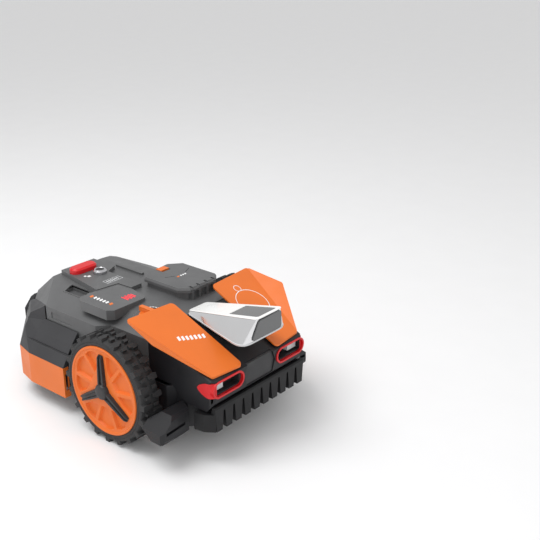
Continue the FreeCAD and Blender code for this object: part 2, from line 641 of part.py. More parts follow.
def deck(block):
    """Upper cover with the battery opening, the dial seat and a raised rim under the lid."""
    hollow = deck_stock("deck_hollow", "wall")
    seat = rod("dial_boss", "dial_radius + 6", ("dial_seat - 16", "dial_seat"), "Z", "dial_x", "dial_y")
    rim = prism("bay_rim", "XY", [
        ("6", "-74"), ("20", "-92"), ("99", "-92"), ("118", "-78"), ("118", "22"), ("91", "45"),
        ("27", "40"),
        ("6", "26")], "238", "lid_low - 0.5")
    bay = box("bay_opening", ("16", "108"), ("-84", "32"), ("230", "280"))
    dial_room = rod("dial_room", "dial_radius + 2", ("dial_seat", "dial_seat + 12"), "Z", "dial_x",
        "dial_y")
    shaft = rod("dial_hole", "5 + run_gap", ("235", "260"), "Z", "dial_x", "dial_y")
    vent = box("vent_recess", ("-166", "-163.5"), ("95", "170"), ("200", "216"))
    vent_left = box("vent_recess_left", ("163.5", "166"), ("95", "170"), ("200", "216"))
    bar = box("cable_ridge", ("44", "52"), ("88", "180"), ("256", "deck_crown + 5"))
    recess = box("grip_recess", ("-116", "-92"), ("112", "178"), ("243", "deck_crown"))
    recess_floor = box("grip_floor", ("-119", "-89"), ("109", "181"), ("240", "250"))
    shell = fuse("deck_joined", cut("deck_shell", block, hollow),
        seat, rim, bar, recess_floor, *hinge_ears())
    node(cut("deck_cover", shell, bay, dial_room, shaft, recess, vent, vent_left, *hinge_seats()),
        "deck_cover")


def rear_cover(name, rings):
    """Thin hollow side cover from level rings of four outer corners, bottom up, closed along the deck."""
    last = len(rings) - 1
    solids = []
    for side, inset in (("outer", 0), ("inner", size("wall"))):
        stack = []
        for i, (level, face, corner, tail) in enumerate(rings):
            shift = {0: -1, last: 1}.get(i, 0) if inset else 0
            front = size("pod_front") + inset
            corners = [(inset - face, front), (inset - face, 198),
                (corner[0] + inset, corner[1] - inset / 2),
                       (tail[0], tail[1] - inset), (-124 + 4 * inset, 298 - inset / 2),
                       (-167 + 6 * inset, 190), (-167 + 6 * inset, front)]
            stack.append([(x, y, level + shift) for x, y in corners])
        solids.append(feature(f"{name}_{side}", wedge_solid(*stack)))
    return cut(name, *solids)


def shoulder(name):
    """Rear shoulder of a side cover, rising to the deck's rear corner."""
    return feature(name, wedge_solid(
        [(-167.5, 190, 188), (-186, 234, 188), (-130, 304, 188), (-122, 294, 188), (-158, 196, 188)],
        [(-166.5, 192, 224), (-180, 230, 202), (-128, 300, 196), (-121, 292, 200), (-158, 196, 226)]))


def side_covers(tub, bumper, deck_block):
    """Right-hand edge pod with its coloured skirt, and the slimmer left-hand cover."""
    foot = size("skirt_top") + 0.5
    upper = (192, 168, (-183, 232), (-127, 302))
    pod = rear_cover("edge_pod_stock", [
        (foot, size("pod_face"), (-204, 251), (-133, 322)), (168, 188, (-192, 240), (-130, 314)), upper])
    joined = fuse("edge_pod_joined", pod, shoulder("edge_pod_shoulder"))
    node(cut("edge_pod", joined, tub, deck_block), "edge_pod")
    skirt = prism("skirt_stock", "XY", [
        ("-pod_face", "pod_front"), ("-pod_face", "200"), ("-204", "251"), ("-133", "322"),
        ("8 - 133", "318"),
        ("plate - 204", "248"), ("plate - pod_face", "199"), ("plate - pod_face", "pod_front + plate"),
        ("-200", "pod_front + plate"), ("-200", "pod_front")], "skirt_low", "skirt_top")
    slot = box("skirt_slot", ("-212", "-204"), ("pod_front - 1", "pod_front + 5"), ("62", "104"))
    node(cut("edge_skirt", skirt, slot, tub, bumper), "edge_skirt")

    half = size("left_face")
    left = rear_cover("left_cover_stock", [
        (52, half - 3, (-186, 240), (-133, 322)), (121, half, (-186, 240), (-133, 322)),
        (168, 182, (-184, 236), (-130, 314)), upper])
    twin = doc.addObject("Part::Mirroring", "left_cover_twin")
    twin.Source = fuse("left_cover_joined", left, shoulder("left_cover_shoulder"))
    twin.Normal = V(1, 0, 0)
    node(cut("left_side_cover", twin, tub, deck_block, bumper), "left_side_cover")


def rear_bumper():
    """Rear bumper band with a hand recess for lifting the tail."""
    band = prism("bumper_plan", "XY", [
        ("-130", "324.5"), ("-84", "350"), ("84", "350"), ("130", "324.5"), ("126", "316.5"), ("82", "335"),
        ("-82", "335"), ("-126", "316.5")], "52", "195")
    side = prism("bumper_side", "YZ", [
        ("310", "52"), ("342", "52"), ("350", "92"), ("350", "150"), ("342", "190"), ("310", "190")],
        "-135", "135")
    rear = prism("bumper_rear_view", "XZ", [
        ("-135", "50"), ("135", "50"), ("135", "168"), ("86", "188"), ("-86", "188"),
        ("-135", "168")], "305", "352")
    grip = box("hand_recess", ("-52", "52"), ("341", "352"), ("104", "134"))
    body = common("bumper_body", common("bumper_stock", band, side), rear)
    return node(cut("rear_bumper", body, grip), "rear_bumper")


def fenders():
    """Fender: a front panel and a triangular outer facet that share a crease."""
    rear_in, rear_out = ("-62", "-125", "287"), ("-191", "-119", "290")
    front_out, front_in, wide = ("-139", "-312", "200"), ("-54", "-320", "199"), ("-207", "-214", "271")
    corners = numbers([rear_in, rear_out, wide, front_out, front_in])
    thick = size("fender_thick")
    pieces = []
    for ring in ([0, 1, 3, 4], [1, 2, 3]):
        top = [corners[i] for i in ring]
        pieces.append(wedge_solid([(x, y, z - thick) for x, y, z in top], top))
    sheet_metal = feature("fender_source", pieces[0].fuse(pieces[1]))
    plan = [(x, y) for x, y, z in (rear_in, rear_out, wide, front_out, front_in)]
    trim = rounded("fender_trim", prism("fender_plan", "XY", plan, "180", "300"), "10", upright)
    right = node(common("fender_right", sheet_metal, trim), "fender_right")
    mirrored(right, "fender_left")


# ---------------------------------------------------------------- camera head

def neck_block(name):
    return box(name, ("-22", "22"), ("-196", "-160"), ("230", "251.5"))


def camera_head():
    """Wedge-shaped vision head: shell, top frame, two windows, lower trim and camera modules."""
    lower = numbers([("-33", "head_rear", "252"), ("33", "head_rear", "252"),
                     ("head_half_low", "head_front + 10", "head_low"),
                     ("-head_half_low", "head_front + 10", "head_low")])
    upper = numbers([("-head_half_rear", "head_rear", "head_rear_top"),
                     ("head_half_rear", "head_rear", "head_rear_top"),
                     ("head_half_top", "head_front", "head_top"),
                     ("-head_half_top", "head_front", "head_top")])
    drop = size("frame_thick")
    shelf = [(x, y, z - drop) for x, y, z in upper]
    trim_top = [(x, y, z + drop) for x, y, z in lower]
    body = feature("head_body", wedge_solid(trim_top, shelf))
    eye_pocket = box("eye_pocket", ("-30", "30"), ("head_front - 2", "head_front + 26"), ("258", "290"))
    neck = neck_block("head_neck")
    trim = feature("head_sill", wedge_solid(lower, trim_top))
    shell = cut("head_shell", fuse("head_joined", body, trim, neck), eye_pocket)
    node(shell, "head_shell")

    frame = feature("head_frame_stock", wedge_solid(shelf, upper))
    rise = (size("head_top") - size("head_rear_top")) / (size("head_rear") - size("head_front"))

    def top_at(x, y):
        return (x, y, size("head_top") - rise * (y - size("head_front")))
    pane = [top_at(-34, -344), top_at(34, -344), top_at(31, -262), top_at(-31, -262)]
    deep = [(x, y, z - 2) for x, y, z in pane]
    high = [(x, y, z + 2) for x, y, z in pane]
    opening = feature("pane_opening", wedge_solid(deep, high))
    node(cut("head_frame", frame, opening), "head_frame")
    node(feature("head_top_window", wedge_solid(deep, [(x, y, z - 0.6) for x, y, z in pane])),
        "head_top_window")

    front, low_front = size("head_front"), size("head_front + 10")
    face = [(-37, front, 301), (37, front, 301), (73, low_front, 250), (-73, low_front, 250)]
    behind = [(x, y - 0.3, z) for x, y, z in face]
    proud = [(x * 0.985, y - 1.6, z) for x, y, z in face]
    window = feature("front_window_stock", wedge_solid(behind, proud))
    node(cut("head_front_window", window, shell), "head_front_window")

    lenses = [rod(f"lens{i}", "9", ("-340", "-328"), "Y", x, "275") for i, x in enumerate(("-17", "17"))]
    base = box("lens_base", ("-29", "29"), ("-328", "-324.5"), ("259", "289"))
    node(fuse("camera_modules", base, *lenses), "camera_modules")


# ---------------------------------------------------------------- controls

def console(block):
    """Control console with its display tile, window and status lamp, standing on the deck."""
    stock = prism("console_stock", "XY", [
        ("-72", "243"), ("-84", "165"), ("-98", "84"), ("-40", "76"), ("-38", "34"), ("-6", "34"),
        ("-6", "150"),
        ("28", "166"), ("28", "243")], "236", "console_top")
    pit = stop_outline("stop_pit", "0.6", "264", "console_top + 1")
    spindle = rod("knob_hole", "7", ("264", "console_top + 1"), "Z", "knob_x", "knob_y")
    lamp_hole = rod("lamp_hole", "3.2", ("268", "console_top + 1"), "Z", "led_x", "led_y")
    node(cut("console", stock, block, pit, spindle, lamp_hole), "console")
    node(rod("status_led", "3.2", ("268", "console_top + 0.6"), "Z", "led_x", "led_y"), "status_led")

    stock = prism("tile_stock", "XY", [
        ("-158", "70"), ("-146", "84"), ("-99", "83.5"), ("-41", "75.5"), ("-38.5", "33.5"), ("-50", "-24"),
        ("-58", "-31"), ("-146", "-31"), ("-158", "-18")], "tile_top - 23", "tile_top")
    window = box("window_cut", ("-92", "-56"), ("-22", "22"), ("tile_top - 1.5", "tile_top + 1"))
    node(cut("display_tile", stock, block, window), "display_tile")
    node(box("display_window", ("-92", "-56"), ("-22", "22"), ("tile_top - 1.5", "tile_top")),
        "display_window")


def stop_outline(name, grow, low, high):
    """Round-ended stop button shape along X, grown all round."""
    reach = "stop_half - stop_radius"
    ends = [rod(f"{name}_end{i}", f"stop_radius + {grow}", (low, high), "Z",
        f"stop_x {sign} ({reach})", "stop_y")
            for i, sign in enumerate("-+")]
    middle = box(name + "_mid", (f"stop_x - ({reach})", f"stop_x + ({reach})"),
                 (f"stop_y - stop_radius - {grow}", f"stop_y + stop_radius + {grow}"), (low, high))
    return fuse(name, middle, *ends)


def controls():
    """Stop button, selector ring with its push centre, and the cutting-height lever."""
    button = stop_outline("stop_stock", "0", "stop_low", "stop_top")
    button.Refine = True
    top = size("stop_top")
    doc.recompute()
    shaped = doc.addObject("Part::Chamfer", "stop_button")
    shaped.Base = button
    shaped.Edges = [(i, 4, 4) for i, e in enumerate(button.Shape.Edges, 1)
                    if all(abs(v.Z - top) < 0.01 for v in e.Vertexes)]
    node(shaped, "stop_button")

    ring = lathe("select_ring", "XZ", "V_Axis", [
        ("knob_hole", "console_top + 0.4"), ("knob_radius", "console_top + 0.4"),
        ("knob_radius", "knob_top - 4"), ("knob_radius - 3", "knob_top"), ("knob_hole + 1", "knob_top"),
        ("knob_hole", "knob_top - 1")], ("knob_x", "knob_y", "0"))
    node(ring, "select_ring")
    cap = rod("select_cap", "knob_hole - 0.4", ("console_top + 3", "knob_top - 0.5"), "Z", "knob_x",
        "knob_y")
    post = rod("select_post", "6.5", ("267", "console_top + 4"), "Z", "knob_x", "knob_y")
    node(fuse("select_button", cap, post), "select_button")

    disc = rod("lever_disc", "dial_radius - 8", ("dial_seat + 0.4", "dial_seat + 4"), "Z", "dial_x",
        "dial_y")
    shaft = rod("lever_shaft", "5", ("243", "dial_seat + 2"), "Z", "dial_x", "dial_y")
    arm = prism("lever_arm", "XY", [
        ("dial_x - 6", "dial_y - 8"), ("dial_x + 6", "dial_y - 8"),
        ("dial_x + 5", "dial_y + dial_radius - 2"),
        ("dial_x - 5", "dial_y + dial_radius - 2")], "dial_seat + 3", "dial_seat + 15")
    node(fuse("height_lever", disc, shaft, arm), "height_lever")


KNUCKLES = (("30", "46"), ("78", "94"))
EARS = (("24", "29.5"), ("46.5", "52"), ("72", "77.5"), ("94.5", "100"))
PIN_SPANS = (("24", "52"), ("72", "100"))


def hinge_pins(name, radius):
    return [rod(f"{name}{i}", radius, span, "X", "hinge_y", "hinge_z") for i, span in enumerate(PIN_SPANS)]


def hinge_ears():
    """Ears that rise from the deck on both sides of each lid knuckle and hold its pin."""
    return [box(f"ear{i}", span, ("hinge_y - 4", "hinge_y + 5.5"), ("250", "hinge_z + 3.5"))
            for i, span in enumerate(EARS)]


def hinge_seats():
    """Room cut in the bay rim for the lid knuckles, and the bores for their pins."""
    seats = [box(f"knuckle_seat{i}", (f"{low} - 0.5", f"{high} + 0.5"), ("hinge_y - 7", "hinge_y + 12"),
                 ("hinge_z - 8", "hinge_z + 8")) for i, (low, high) in enumerate(KNUCKLES)]
    return seats + hinge_pins("ear_bore", "hinge_radius")


def battery_bay():
    """Battery pack in the bay, its hinged lid, hinge pin and sliding latch."""
    pack = rounded("battery_pack", box("battery_stock", ("22", "102"), ("-78", "26"), ("176", "243")),
        "6", upright)
    node(pack, "battery_pack")
    plate = prism("lid_plate", "XY", LID_PLAN, "lid_low", "lid_top")
    doc.recompute()
    shaped = doc.addObject("Part::Chamfer", "lid_chamfered")
    shaped.Base = plate
    shaped.Edges = [(i, 5, 3) for i, e in enumerate(plate.Shape.Edges, 1)
                    if all(abs(v.Z - size("lid_top")) < 0.01 for v in e.Vertexes)]
    knuckles = [rod(f"knuckle{i}", "4.2", span, "X", "hinge_y",
        "hinge_z") for i, span in enumerate(KNUCKLES)]
    bores = hinge_pins("knuckle_bore", "hinge_radius + run_gap")
    slots = [box(f"ear_slot{i}", (f"{low} - 0.5", f"{high} + 0.5"), ("hinge_y - 9", "hinge_y + 8"),
                 ("lid_low - 1", "lid_top + 1")) for i, (low, high) in enumerate(EARS)]
    latch_room = box("latch_room", ("50", "76"), ("20", "44"), ("lid_top - 5", "lid_top + 1"))
    lid = cut("battery_lid", fuse("lid_joined", shaped, *knuckles), latch_room, *bores, *slots)
    node(lid, "battery_lid")
    node(fuse("lid_hinge_pins", *hinge_pins("pin", "hinge_radius")), "lid_hinge_pins")
    node(box("lid_latch", ("50.4", "75.6"), ("26", "43.6"), ("lid_top - 4.7", "lid_top + 1.5")),
        "lid_latch")


def controller():
    """Controller board with its main components, low in the tub between the motors."""
    board = box("board", ("-60", "60"), ("-235", "-150"), ("74", "75.6"))
    chips = [box(f"chip{i}", (x, f"{x} + 18"), (y, f"{y} + 14"), ("75.6", "82"))
             for i, (x, y) in enumerate((("-50", "-225"), ("-10", "-225"), ("25", "-200"),
                 ("-40", "-180")))]
    posts = [box(f"standoff{i}", (x, f"{x} + 6"), (y, f"{y} + 6"), ("tub_low + plate", "74"))
             for i, (x, y) in enumerate((("-58", "-233"), ("52", "-233"), ("-58", "-158"), ("52", "-158")))]
    node(fuse("controller_board", board, *chips, *posts), "controller_board")


# ---------------------------------------------------------------- assembly

drive_wheel()
gearmotors()
tub_outer = chassis()
screw_heads()
cutting_system()
casters()
headlights()
nose(tub_outer)
contacts()
comb()
skids(tub_outer)
deck_block = deck_stock("deck_block", "0")
deck(deck_block)
side_covers(tub_outer, rear_bumper(), deck_block)
fenders()
camera_head()
console(deck_block)
controls()
battery_bay()
controller()

doc.recompute()
failed = [obj.Name for obj in doc.Objects if {"Invalid", "Error"} & set(obj.State)]
for obj in NODES:
    if obj.Shape.isNull() or not obj.Shape.isValid() or not obj.Shape.Solids:
        failed.append(obj.Label)
if failed:
    raise SystemExit("failed: " + ", ".join(failed))
os.makedirs("parts", exist_ok=True)
for obj in NODES:
    obj.Shape.exportStep(f"parts/{obj.Label}.step")
    print(obj.Label, len(obj.Shape.Solids), "solids", round(obj.Shape.Volume / 1000, 1), "cm3")
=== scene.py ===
import math

import bmesh
import bpy
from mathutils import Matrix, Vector


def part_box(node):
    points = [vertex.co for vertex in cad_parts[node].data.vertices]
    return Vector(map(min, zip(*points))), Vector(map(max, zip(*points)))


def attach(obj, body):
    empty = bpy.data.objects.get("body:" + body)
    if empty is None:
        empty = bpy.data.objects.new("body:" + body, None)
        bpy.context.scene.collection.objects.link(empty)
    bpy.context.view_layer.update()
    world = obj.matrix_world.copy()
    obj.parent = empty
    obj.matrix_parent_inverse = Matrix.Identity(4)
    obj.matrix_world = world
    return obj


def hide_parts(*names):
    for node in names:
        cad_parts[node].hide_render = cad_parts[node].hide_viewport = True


# Robotic lawn mower on a pale floor. Metres in the CAD frame: +Z up, the front looks along -Y,
# the right-hand side is -X. Lengths are written in millimetres and multiplied by MM.

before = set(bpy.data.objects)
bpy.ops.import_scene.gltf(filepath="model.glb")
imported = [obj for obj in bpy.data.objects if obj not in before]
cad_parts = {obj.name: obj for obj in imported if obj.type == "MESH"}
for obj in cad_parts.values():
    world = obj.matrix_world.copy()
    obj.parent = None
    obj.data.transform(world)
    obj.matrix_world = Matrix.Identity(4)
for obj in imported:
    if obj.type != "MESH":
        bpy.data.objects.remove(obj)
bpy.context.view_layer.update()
MM = 0.001


# ---------------------------------------------------------------- materials

def node_of(tree, kind, **inputs):
    """Shader node with its input values set by name."""
    made = tree.nodes.new(kind)
    for name, value in inputs.items():
        made.inputs[name.replace("_", " ")].default_value = value
    return made


def noise(tree, coords, scale, detail=2.0):
    """Noise texture value at a scale per metre."""
    made = node_of(tree, "ShaderNodeTexNoise", Scale=scale, Detail=detail)
    tree.links.new(coords, made.inputs["Vector"])
    return made.outputs["Fac"]


def spread(tree, value, low, high):
    """Maps a noise value to a range."""
    made = tree.nodes.new("ShaderNodeMapRange")
    made.inputs["From Min"].default_value = 0.3
    made.inputs["From Max"].default_value = 0.7
    made.inputs["To Min"].default_value = low
    made.inputs["To Max"].default_value = high
    tree.links.new(value, made.inputs["Value"])
    return made.outputs["Result"]


def blend_colour(tree, factor, first, second):
    """Mix of two colours, each a fixed one or another node's output."""
    made = tree.nodes.new("ShaderNodeMix")
    made.data_type = "RGBA"
    for socket, value in ((made.inputs[6], first), (made.inputs[7], second)):
        if isinstance(value, tuple):
            socket.default_value = (*value, 1)
        else:
            tree.links.new(value, socket)
    tree.links.new(factor, made.inputs[0])
    return made.outputs[2]


def material(name, colour, rough, metal=0.0, vary=0.12, grain=1100.0, relief=0.25, edge=0.0,
             rough_vary=0.06, coat=0.0, glow=0.0, shine=0.5):
    """Moulded or metal surface: uneven colour, fine grain in the bump, rounded edges lightened as a painted
    highlight, uneven gloss.
    """
    made = bpy.data.materials.new(name)
    made.use_nodes = True
    tree = made.node_tree
    shader = tree.nodes["Principled BSDF"]
    shader.inputs["Metallic"].default_value = metal
    shader.inputs["Coat Weight"].default_value = coat
    shader.inputs["Specular IOR Level"].default_value = shine
    shader.inputs["Coat Roughness"].default_value = 0.12
    coords = tree.nodes.new("ShaderNodeTexCoord").outputs["Object"]
    cloud = noise(tree, coords, 9.0, 4.0)
    darker = tuple(c * (1 - vary) for c in colour)
    lighter = tuple(min(1.0, c * (1 + vary)) for c in colour)
    tint = blend_colour(tree, spread(tree, cloud, 0, 1), darker, lighter)
    # Painted highlight: rounded edges get a lighter base colour, as strong as edge asks for.
    if edge:
        rim = node_of(tree, "ShaderNodeBevel", Radius=1.2 * MM)
        rim.samples = 4
        flat = tree.nodes.new("ShaderNodeNewGeometry")
        turn = tree.nodes.new("ShaderNodeVectorMath")
        turn.operation = "DOT_PRODUCT"
        tree.links.new(rim.outputs["Normal"], turn.inputs[0])
        tree.links.new(flat.outputs["Normal"], turn.inputs[1])
        highlight_mask = tree.nodes.new("ShaderNodeMapRange")
        highlight_mask.inputs["From Min"].default_value = 0.995
        highlight_mask.inputs["From Max"].default_value = 0.8
        highlight_mask.inputs["To Max"].default_value = edge
        tree.links.new(turn.outputs["Value"], highlight_mask.inputs["Value"])
        painted_highlight = tuple(min(1.0, c * 1.5 + 0.04) for c in colour)
        tint = blend_colour(tree, highlight_mask.outputs["Result"], tint, painted_highlight)
    tree.links.new(tint, shader.inputs["Base Color"])
    smear = noise(tree, coords, 34.0, 3.0)
    tree.links.new(spread(tree, smear, max(0.03, rough - rough_vary), rough + rough_vary),
                   shader.inputs["Roughness"])
    if relief:
        bump = node_of(tree, "ShaderNodeBump", Strength=relief, Distance=0.15 * MM)
        tree.links.new(noise(tree, coords, grain, 2.0), bump.inputs["Height"])
        tree.links.new(bump.outputs["Normal"], shader.inputs["Normal"])
    if glow:
        shader.inputs["Emission Color"].default_value = (*colour, 1)
        shader.inputs["Emission Strength"].default_value = glow
    return made


GREY = material("deck_grey", (0.100, 0.101, 0.103), 0.46, edge=0.5)
MID_GREY = material("tile_grey", (0.105, 0.106, 0.108), 0.44, edge=0.5)
POD = material("pod_grey", (0.040, 0.040, 0.043), 0.50, edge=0.3, shine=0.35)
BLACK = material("nose_black", (0.014, 0.014, 0.016), 0.44, edge=0.25, shine=0.32)
COMB = material("comb_black", (0.008, 0.008, 0.009), 0.50, edge=0.2, shine=0.3)
HUB = material("hub_black", (0.018, 0.018, 0.019), 0.38, edge=0.35, shine=0.4)
ORANGE = material("fender_orange", (0.74, 0.164, 0.022), 0.40, vary=0.04, relief=0.10, edge=0.2, shine=0.35)
RIM = material("rim_orange", (0.76, 0.160, 0.022), 0.46, vary=0.05, relief=0.15, edge=0.2, shine=0.35)
RED = material("signal_red", (0.62, 0.010, 0.014), 0.36, vary=0.05, relief=0.12, edge=0.2, shine=0.4)
WHITE = material("frame_white", (0.88, 0.88, 0.87), 0.28, vary=0.02, relief=0.05, coat=0.3)
SILVER = material("polished_silver", (0.78, 0.78, 0.79), 0.16, metal=1.0, vary=0.03, relief=0.02,
                  grain=500.0, rough_vary=0.03)
SILL = material("sill_grey", (0.62, 0.63, 0.64), 0.35, vary=0.04, relief=0.08, edge=0.2)
WINDOW = material("window_grey", (0.075, 0.078, 0.080), 0.16, vary=0.05, relief=0.0, coat=0.3)
LENS = material("lens_glass", (0.012, 0.014, 0.020), 0.06, vary=0.1, relief=0.0, coat=1.0)
LAMP = material("lamp_block", (0.60, 0.61, 0.62), 0.25, vary=0.10, relief=0.1, grain=260.0)
RUBBER = material("tyre_rubber", (0.026, 0.026, 0.027), 0.62, vary=0.16, grain=700.0, relief=0.4, edge=0.4,
                  shine=0.4)
SMALL_RUBBER = material("roller_rubber", (0.050, 0.050, 0.052), 0.6, vary=0.14, relief=0.35)
STEEL = material("brushed_steel", (0.58, 0.58, 0.60), 0.30, metal=1.0, vary=0.08, grain=900.0, relief=0.2)
MOTOR = material("motor_paint", (0.17, 0.17, 0.18), 0.38, metal=0.6, vary=0.08, relief=0.12)
CARRIAGE = material("carriage_grey", (0.22, 0.22, 0.23), 0.5, edge=0.3)
BATTERY = material("battery_black", (0.022, 0.022, 0.024), 0.5, edge=0.4)
BOARD = material("board_green", (0.02, 0.13, 0.05), 0.4, vary=0.15, relief=0.2, grain=400.0)
SEAM = material("seam_shadow", (0.010, 0.010, 0.011), 0.7, vary=0.1, relief=0.1)
PRINT = material("print_white", (0.86, 0.86, 0.86), 0.45, vary=0.03, relief=0.05)
DIGIT = material("display_red", (0.85, 0.02, 0.035), 0.4, vary=0.03, relief=0.0, glow=0.5)
FLOOR = material("floor", (0.90, 0.90, 0.905), 0.75, vary=0.006, relief=0.0)


# ---------------------------------------------------------------- mesh helpers

def place(name, mesh, paint, body, replaces=(), bevel=0.0, smooth=40, second=None):
    """Finished piece from a bmesh: material, body, optional edge bevel, shading by angle."""
    bmesh.ops.recalc_face_normals(mesh, faces=mesh.faces)
    data = bpy.data.meshes.new(name)
    mesh.to_mesh(data)
    mesh.free()
    for face in data.polygons:
        face.use_smooth = True
    data.set_sharp_from_angle(angle=math.radians(smooth))
    piece = bpy.data.objects.new(name, data)
    bpy.context.scene.collection.objects.link(piece)
    piece.data.materials.append(paint)
    if second:
        piece.data.materials.append(second)
    if bevel:
        add_bevel(piece, bevel)
    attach(piece, body)
    if replaces:
        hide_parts(*replaces)
    return piece


def add_bevel(piece, width, segments=2):
    """Rounded edges, width in mm, where faces meet at more than 28 degrees."""
    edge = piece.modifiers.new("edge", "BEVEL")
    edge.width = width * MM
    edge.segments = segments
    edge.limit_method = "ANGLE"
    edge.angle_limit = math.radians(28)
    edge.use_clamp_overlap = True
    edge.harden_normals = False
    normals = piece.modifiers.new("normals", "WEIGHTED_NORMAL")
    normals.keep_sharp = True
    return piece


def ring_faces(mesh, rings, closed=True):
    """Quads between successive rings of vertices."""
    for a, b in zip(rings, rings[1:]):
        count = len(a)
        for i in range(count if closed else count - 1):
            j = (i + 1) % count
            mesh.faces.new((a[i], a[j], b[j], b[i]))


def revolve(mesh, profile, place_at, steps, closed=False):
    """Surface of revolution; place_at(depth, radius, angle) gives the point."""
    rings = []
    for depth, radius in profile:
        rings.append([mesh.verts.new(place_at(depth, radius, math.tau * k / steps)) for k in range(steps)])
    if closed:
        rings.append(rings[0])
    ring_faces(mesh, rings)
    if not closed:
        mesh.faces.new(rings[0])
        mesh.faces.new(rings[-1])


def prism_between(mesh, low, high):
    """Closed solid between two matching rings of points."""
    a = [mesh.verts.new(p) for p in low]
    b = [mesh.verts.new(p) for p in high]
    ring_faces(mesh, [a, b])
    mesh.faces.new(a)
    mesh.faces.new(b)


def centre_of(node):
    """Centre and half size of a CAD node's box, in metres."""
    low, high = (Vector(corner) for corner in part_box(node))
    return (low + high) / 2, (high - low) / 2


# ---------------------------------------------------------------- wheels

def wheel_place(side, outer_x, centre):
    """Point on a wheel from depth behind its outer face, radius and angle, all lengths in mm."""
    def at(depth, radius, angle):
        inward = -side
        return Vector((outer_x + inward * depth * MM, centre.y + radius * MM * math.cos(angle),
                       centre.z + radius * MM * math.sin(angle)))
    return at


TYRE_PROFILE = [(6, 102), (1, 102), (0.3, 103.5), (0, 106), (0, 108.6), (0.9, 109.2), (0.9, 110.4), (0, 111),
                (0.2, 113.5), (1.6, 116), (5, 117.6), (14, 118.4), (26, 118.8), (38, 118.4), (47.5, 117.6),
                (50.9, 116), (52.3, 113.5), (52.5, 106), (52, 102), (46, 102)]
LUG = [(-6.5, 0), (6.5, 0), (8, 8), (8, 15), (3.5, 18), (3.5, 24), (-5.5, 24), (-5.5, 17), (-8, 13), (-8, 6)]
SMALL_LUG = [(-3.6, 10), (3.6, 10), (4.4, 22), (-4.4, 22)]


def lug(mesh, at, outline, angle, width, flip):
    """One tread block, its shoulder end reaching down the sidewall."""
    middle_s = sum(s for s, d in outline) / len(outline)
    middle_d = sum(d for s, d in outline) / len(outline)
    low, high = [], []
    for s, d in outline:
        foot = 112.0 if d < 3 else 117.0
        top_s = middle_s + (s - middle_s) * 0.84
        top_d = middle_d + (d - middle_d) * (0.90 if d > 3 else 0.97)
        for ring, (across, deep, radius) in ((low, (s, d, foot)), (high, (top_s, top_d, 124.7))):
            depth = width - deep if flip else deep
            ring.append(at(depth, radius, angle + across / radius))
    prism_between(mesh, low, high)


def tyre(side, name):
    """Carcass with four staggered rows of tread blocks."""
    centre, half = centre_of(name)
    outer_x = centre.x + side * half.x
    at = wheel_place(side, outer_x, centre)
    mesh = bmesh.new()
    revolve(mesh, TYRE_PROFILE, at, 144, closed=True)
    width = 2 * half.x / MM
    count = 20
    for i in range(count):
        angle = math.tau * i / count
        pitch = math.tau / count
        lug(mesh, at, LUG, angle, width, False)
        lug(mesh, at, LUG, angle + pitch / 2, width, True)
        lug(mesh, at, SMALL_LUG, angle + pitch / 2, width, False)
        lug(mesh, at, SMALL_LUG, angle, width, True)
    place(f"tread_{name}", mesh, RUBBER, name.replace("tyre", "wheel"), [name], smooth=32)


def spoke_cap(side, name):
    """Hub cap with three channelled arms."""
    centre, half = centre_of(name)
    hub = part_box(name.replace("spoke_cap", "rim"))
    base_x = centre.x - side * half.x
    wheel_centre = (Vector(hub[0]) + Vector(hub[1])) / 2
    height = 2 * half.x / MM

    def at(depth, radius, angle):
        return Vector((base_x + side * depth * MM, wheel_centre.y + radius * MM * math.cos(angle),
                       wheel_centre.z + radius * MM * math.sin(angle)))

    mesh = bmesh.new()
    revolve(mesh, [(0, 19), (height - 4, 18), (height - 1.2, 16), (height - 0.2, 12), (height - 0.2, 6)],
            at, 48)
    stations = [(10, 11.5, 8), (22, 11, 8), (60, 8.8, 7.6), (80, 7.4, 7), (85.6, 6.4, 3.2)]
    for angle in (90, 210, 330):
        along = math.radians(angle)
        reach = Vector((0, math.cos(along), math.sin(along)))
        across = Vector((0, -math.sin(along), math.cos(along)))
        rings = []
        for radius, half_width, rise in stations:
            section = [(-1, 0), (-0.86, 0.86), (-0.74, 1), (-0.44, 1), (-0.3, 0.55), (0.3, 0.55), (0.44, 1),
                       (0.74, 1), (0.86, 0.86), (1, 0)]
            middle = Vector((base_x, wheel_centre.y, wheel_centre.z)) + reach * radius * MM
            rings.append([mesh.verts.new(middle + across * half_width * w * MM
                                         + Vector((side * rise * h * MM, 0, 0)))
                          for w, h in section])
        ring_faces(mesh, rings)
        mesh.faces.new(rings[0])
        mesh.faces.new(rings[-1])
    place(f"hub_{name}", mesh, HUB, name.replace("spoke_cap", "wheel"), [name], smooth=30)


